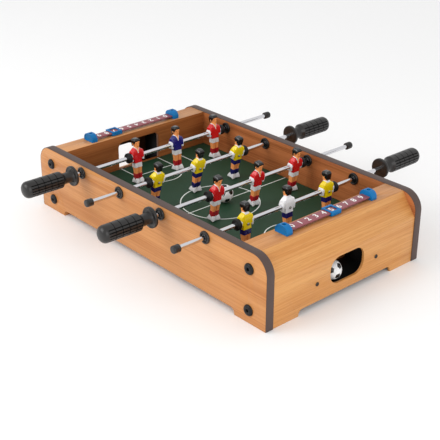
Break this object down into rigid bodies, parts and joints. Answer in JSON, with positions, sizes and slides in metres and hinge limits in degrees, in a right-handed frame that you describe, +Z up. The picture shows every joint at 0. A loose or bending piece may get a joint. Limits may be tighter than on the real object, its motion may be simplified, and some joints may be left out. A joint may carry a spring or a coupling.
{
  "type": "tabletop foosball table",
  "caption": "Tabletop foosball game with sliding, spinning player rods, goals that drop into ball trays, and sliding score counters.",
  "frame": {"origin": "on the surface that the feet stand on, under the middle of the whole footprint, handles and rod ends included", "axes": "+X from goal to goal, towards the end whose counter shows five; +Y along the rods; +Z up"},
  "size_m": [0.511, 0.5315, 0.1185],
  "materials": {
    "outer_wood": "satin light orange wood-grain foil on board",
    "end_wood": "satin golden wood-grain foil on board",
    "inner_wood": "satin reddish brown wood-grain foil on board",
    "edge_band": "dark taupe plastic edge band",
    "pitch": "satin printed green board with white field lines",
    "block_wood": "plain sawn softwood",
    "black_tray": "satin black moulded plastic",
    "black_steel": "black oxide steel",
    "dark_screw": "dark plated steel",
    "zinc": "zinc plated steel",
    "black_plastic": "satin black moulded plastic",
    "black_rubber": "matt black rubber",
    "chrome_rod": "bright chrome-plated steel",
    "blue_plastic": "satin blue moulded plastic",
    "score_strip": "satin dull rose strip with white numerals",
    "ball_plastic": "glossy white plastic with black panels",
    "red_team": "painted plastic figure, red shirt",
    "yellow_team": "painted plastic figure, yellow shirt",
    "blue_keeper": "painted plastic figure, blue shirt",
    "white_keeper": "painted plastic figure, white shirt"
  },
  "bodies": {
    "cabinet": {"front_side_panel": "outer_wood", "rear_side_panel": "outer_wood", "front_edge_trim": "edge_band", "rear_edge_trim": "edge_band", "left_end_shell": "end_wood", "right_end_shell": "end_wood", "left_goal_wall": "inner_wood", "right_goal_wall": "inner_wood", "left_ball_tray": "black_tray", "right_ball_tray": "black_tray", "playfield": "pitch", "corner_blocks": "block_wood", "panel_bolts": "black_steel", "insert_nuts": "zinc", "tray_screws": "dark_screw", "score_screws": "dark_screw", "outer_bushings": "black_plastic", "inner_bushings": "black_plastic", "left_score_strip": "score_strip", "left_score_brackets": "blue_plastic", "right_score_strip": "score_strip", "right_score_brackets": "blue_plastic"},
    "left_score_slider": {"left_score_slider": "blue_plastic"},
    "right_score_slider": {"right_score_slider": "blue_plastic"},
    "pitch_ball": {"pitch_ball": "ball_plastic"},
    "tray_ball": {"tray_ball": "ball_plastic"},
    "rod_1_slide": {"rod_1_bumpers": "black_rubber"},
    "rod_1": {"rod_1_bar": "chrome_rod", "rod_1_handle": "black_plastic", "rod_1_end_cap": "black_plastic", "rod_1_front_player": "red_team", "rod_1_middle_player": "blue_keeper", "rod_1_rear_player": "red_team", "rod_1_player_screws": "zinc"},
    "rod_2_slide": {"rod_2_bumpers": "black_rubber"},
    "rod_2": {"rod_2_bar": "chrome_rod", "rod_2_handle": "black_plastic", "rod_2_end_cap": "black_plastic", "rod_2_front_player": "yellow_team", "rod_2_middle_player": "yellow_team", "rod_2_rear_player": "yellow_team", "rod_2_player_screws": "zinc"},
    "rod_3_slide": {"rod_3_bumpers": "black_rubber"},
    "rod_3": {"rod_3_bar": "chrome_rod", "rod_3_handle": "black_plastic", "rod_3_end_cap": "black_plastic", "rod_3_front_player": "red_team", "rod_3_middle_player": "red_team", "rod_3_rear_player": "red_team", "rod_3_player_screws": "zinc"},
    "rod_4_slide": {"rod_4_bumpers": "black_rubber"},
    "rod_4": {"rod_4_bar": "chrome_rod", "rod_4_handle": "black_plastic", "rod_4_end_cap": "black_plastic", "rod_4_front_player": "yellow_team", "rod_4_middle_player": "white_keeper", "rod_4_rear_player": "yellow_team", "rod_4_player_screws": "zinc"}
  },
  "joints": [
    {"name": "rod_1_push_pull", "type": "slide", "parent": "cabinet", "child": "rod_1_slide", "axis": [0, 1, 0], "range_m": [-0.0665, 0.0065]},
    {"name": "rod_1_spin", "type": "hinge", "parent": "rod_1_slide", "child": "rod_1", "pos_m": [-0.1395, -0.015, 0.0905], "axis": [0, 1, 0], "continuous": true},
    {"name": "rod_2_push_pull", "type": "slide", "parent": "cabinet", "child": "rod_2_slide", "axis": [0, 1, 0], "range_m": [-0.033, 0.04]},
    {"name": "rod_2_spin", "type": "hinge", "parent": "rod_2_slide", "child": "rod_2", "pos_m": [-0.0465, -0.015, 0.0905], "axis": [0, 1, 0], "continuous": true},
    {"name": "rod_3_push_pull", "type": "slide", "parent": "cabinet", "child": "rod_3_slide", "axis": [0, 1, 0], "range_m": [-0.0665, 0.0065]},
    {"name": "rod_3_spin", "type": "hinge", "parent": "rod_3_slide", "child": "rod_3", "pos_m": [0.0465, -0.015, 0.0905], "axis": [0, 1, 0], "continuous": true},
    {"name": "rod_4_push_pull", "type": "slide", "parent": "cabinet", "child": "rod_4_slide", "axis": [0, 1, 0], "range_m": [-0.036, 0.037]},
    {"name": "rod_4_spin", "type": "hinge", "parent": "rod_4_slide", "child": "rod_4", "pos_m": [0.1395, -0.015, 0.0905], "axis": [0, 1, 0], "continuous": true},
    {"name": "right_score_slide", "type": "slide", "parent": "cabinet", "child": "right_score_slider", "axis": [0, 1, 0], "range_m": [-0.074, 0.0592]},
    {"name": "left_score_slide", "type": "slide", "parent": "cabinet", "child": "left_score_slider", "axis": [0, 1, 0], "range_m": [-0.0296, 0.1036]},
    {"name": "pitch_ball_lift", "type": "slide", "parent": "cabinet", "child": "pitch_ball", "axis": [0, 0, 1], "range_m": [0, 0.07]},
    {"name": "tray_ball_roll", "type": "slide", "parent": "cabinet", "child": "tray_ball", "axis": [0, 1, 0], "range_m": [-0.027, 0.047]}
  ]
}
